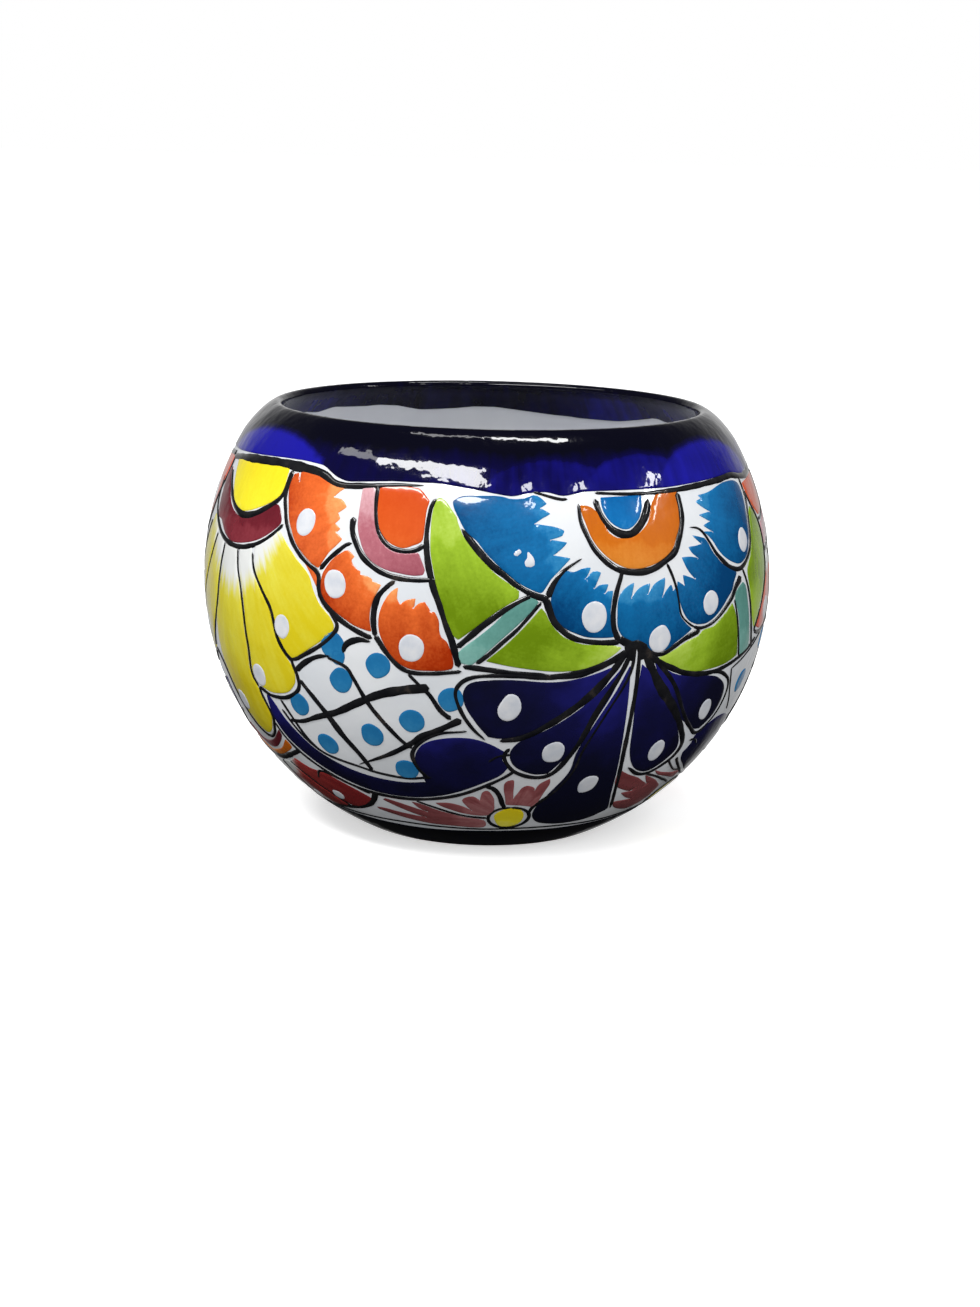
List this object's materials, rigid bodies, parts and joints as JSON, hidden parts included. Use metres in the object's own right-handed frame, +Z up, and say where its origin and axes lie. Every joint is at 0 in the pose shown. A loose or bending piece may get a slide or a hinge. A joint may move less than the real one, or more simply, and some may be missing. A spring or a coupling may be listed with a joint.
{
  "type": "glazed earthenware ball vase",
  "caption": "Round hand-painted earthenware vase with a wide open mouth, blue glazed lip and foot, and a flat base; holds flowers, a plant or a liner pot.",
  "frame": {"origin": "centre of the foot, on the surface that the vase stands on", "axes": "+Z up through the middle of the mouth; -Y is the side that the picture shows; the shape is turned about +Z"},
  "size_m": [0.2028, 0.2028, 0.1497],
  "materials": {
    "terracotta": "matte",
    "white_glaze": "gloss",
    "cobalt_glaze": "gloss",
    "black_line": "gloss",
    "blue_enamel": "gloss",
    "orange_enamel": "gloss",
    "amber_enamel": "gloss",
    "yellow_enamel": "gloss",
    "maroon_enamel": "gloss",
    "green_enamel": "gloss",
    "aqua_enamel": "gloss",
    "navy_enamel": "gloss"
  },
  "bodies": {
    "root": {"clay_body": "terracotta", "belly_glaze": "white_glaze", "rim_glaze": "cobalt_glaze", "lining_glaze": "white_glaze", "foot_glaze": "cobalt_glaze"}
  },
  "joints": []
}
